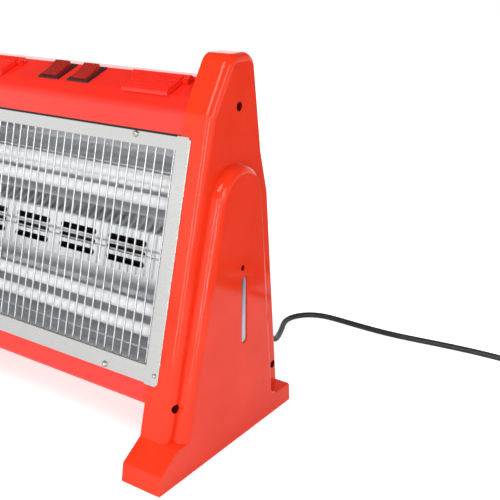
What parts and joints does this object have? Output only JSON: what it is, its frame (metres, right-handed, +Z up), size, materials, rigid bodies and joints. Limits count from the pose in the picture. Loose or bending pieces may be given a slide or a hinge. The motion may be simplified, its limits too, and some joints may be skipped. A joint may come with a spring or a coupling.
{
  "type": "quartz heater",
  "caption": "Leaning electric quartz heater: red end panels with an arched face, bright wire grille over white tubes, filler lids on top, mains lead.",
  "frame": {"origin": "on the floor, under the middle of the heater's box without its lead", "axes": "+X to the viewer's right along the width, +Y to the back, +Z up"},
  "size_m": [0.7142, 0.5755, 0.384],
  "materials": {
    "panel_red": "gloss moulded red",
    "lid_red": "gloss moulded deep red",
    "sheet_red": "gloss red powder coat",
    "sight_clear": "milky clear bar",
    "rubber_black": "matt black",
    "screw_steel": "zinc plated",
    "plate_steel": "plain galvanised",
    "frame_bright": "bright satin",
    "ceramic_white": "white ceramic",
    "tank_white": "natural translucent",
    "switch_black": "black",
    "rocker_red": "deep red",
    "wire_chrome": "bright plated wire",
    "reflector_bright": "mirror bright",
    "quartz_white": "satin white quartz",
    "coil_wire": "oxidised",
    "blower_black": "black",
    "cord_black": "black sheath",
    "pin_brass": "plated"
  },
  "bodies": {
    "heater": {"back_panel": "sheet_red", "base_tray": "sheet_red", "blower_bearing": "blower_black", "blower_motor": "plate_steel", "blower_scroll": "blower_black", "cord_coil": "cord_black", "cord_gland": "cord_black", "cord_lead": "cord_black", "cord_plug": "cord_black", "cross_wires": "wire_chrome", "end_caps_left": "ceramic_white", "end_caps_right": "ceramic_white", "end_plate_left": "plate_steel", "end_plate_right": "plate_steel", "filler_funnel_left": "tank_white", "filler_funnel_right": "tank_white", "frame_bottom_rail": "frame_bright", "frame_screws": "screw_steel", "frame_top_rail": "frame_bright", "guard_wires": "wire_chrome", "heating_coil_1": "coil_wire", "heating_coil_2": "coil_wire", "heating_coil_3": "coil_wire", "heating_coil_4": "coil_wire", "level_sight_left": "sight_clear", "level_sight_right": "sight_clear", "lid_hinge_left": "lid_red", "lid_hinge_right": "lid_red", "lid_pin_left": "screw_steel", "lid_pin_right": "screw_steel", "panel_screws_left": "screw_steel", "panel_screws_right": "screw_steel", "plug_pins": "pin_brass", "quartz_tube_1": "quartz_white", "quartz_tube_2": "quartz_white", "quartz_tube_3": "quartz_white", "quartz_tube_4": "quartz_white", "reflector_lower": "reflector_bright", "reflector_upper": "reflector_bright", "rubber_pads_left": "rubber_black", "rubber_pads_right": "rubber_black", "side_panel_left": "panel_red", "side_panel_right": "panel_red", "side_strip_left": "frame_bright", "side_strip_right": "frame_bright", "switch_bezel_left": "switch_black", "switch_bezel_right": "switch_black", "terminal_block": "blower_black", "thermal_cutout": "plate_steel", "tip_switch": "blower_black", "top_cover": "sheet_red", "vent_band": "reflector_bright", "water_tank_left": "tank_white", "water_tank_right": "tank_white"},
    "lid_right": {"filler_lid_right": "lid_red"},
    "lid_left": {"filler_lid_left": "lid_red"},
    "rocker_right": {"rocker_right": "rocker_red"},
    "rocker_left": {"rocker_left": "rocker_red"},
    "rotor": {"blower_rotor": "blower_black"}
  },
  "joints": [
    {"name": "lid_right_hinge", "type": "hinge", "parent": "heater", "child": "lid_right", "pos_m": [0.11, 0.01225, 0.35846], "axis": [-1, 0, 0], "range_deg": [0, 100]},
    {"name": "lid_left_hinge", "type": "hinge", "parent": "heater", "child": "lid_left", "pos_m": [-0.11, 0.01225, 0.35846], "axis": [-1, 0, 0], "range_deg": [0, 100]},
    {"name": "rocker_right_tilt", "type": "hinge", "parent": "heater", "child": "rocker_right", "pos_m": [0.02, 0.00616, 0.35092], "axis": [-1, 0, 0], "range_deg": [0, 18]},
    {"name": "rocker_left_tilt", "type": "hinge", "parent": "heater", "child": "rocker_left", "pos_m": [-0.02, 0.00616, 0.35092], "axis": [-1, 0, 0], "range_deg": [0, 18]},
    {"name": "rotor_spin", "type": "hinge", "parent": "heater", "child": "rotor", "pos_m": [0, -0.00437, 0.18628], "axis": [1, 0, 0], "continuous": true}
  ]
}
